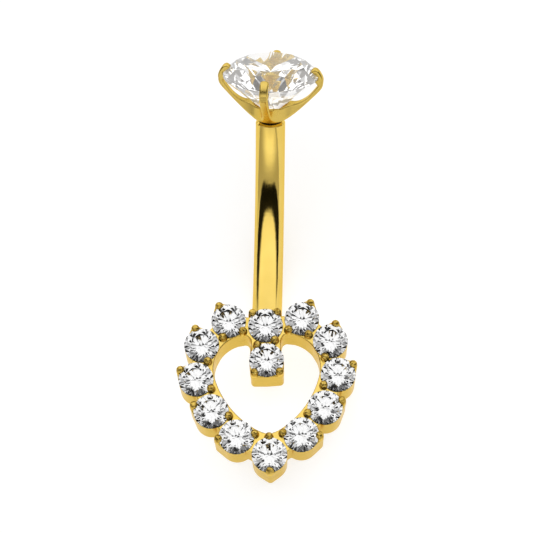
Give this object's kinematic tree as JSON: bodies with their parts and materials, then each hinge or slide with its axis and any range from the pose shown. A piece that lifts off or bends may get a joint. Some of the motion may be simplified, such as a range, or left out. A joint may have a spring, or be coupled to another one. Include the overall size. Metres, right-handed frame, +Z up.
{
  "type": "navel ring",
  "caption": "Gold-coloured curved navel bar with an open heart of round clear stones below and a larger round stone in a pronged cup on top, which draws off.",
  "frame": {"origin": "on the surface it lies on, under the middle of its outline seen from above", "axes": "+Z up from the surface; +Y along its length, from the heart's tip towards the top stone; the heart's face and the top stone look up and towards -Y"},
  "size_m": [0.0094, 0.0232, 0.0092],
  "materials": {
    "gold_metal": "polished",
    "clear_stone": "cut and polished"
  },
  "bodies": {
    "bar": {"bar_with_heart": "gold_metal", "heart_stone_01": "clear_stone", "heart_stone_02": "clear_stone", "heart_stone_03": "clear_stone", "heart_stone_04": "clear_stone", "heart_stone_05": "clear_stone", "heart_stone_06": "clear_stone", "heart_stone_07": "clear_stone", "heart_stone_08": "clear_stone", "heart_stone_09": "clear_stone", "heart_stone_10": "clear_stone", "heart_stone_11": "clear_stone", "heart_stone_12": "clear_stone", "heart_stone_13": "clear_stone"},
    "top": {"top_setting": "gold_metal", "top_stone": "clear_stone"}
  },
  "joints": [
    {"name": "top_unscrew", "type": "slide", "parent": "bar", "child": "top", "axis": [0.1612, 0.5352, 0.8292], "range_m": [0, 0.0022]}
  ]
}
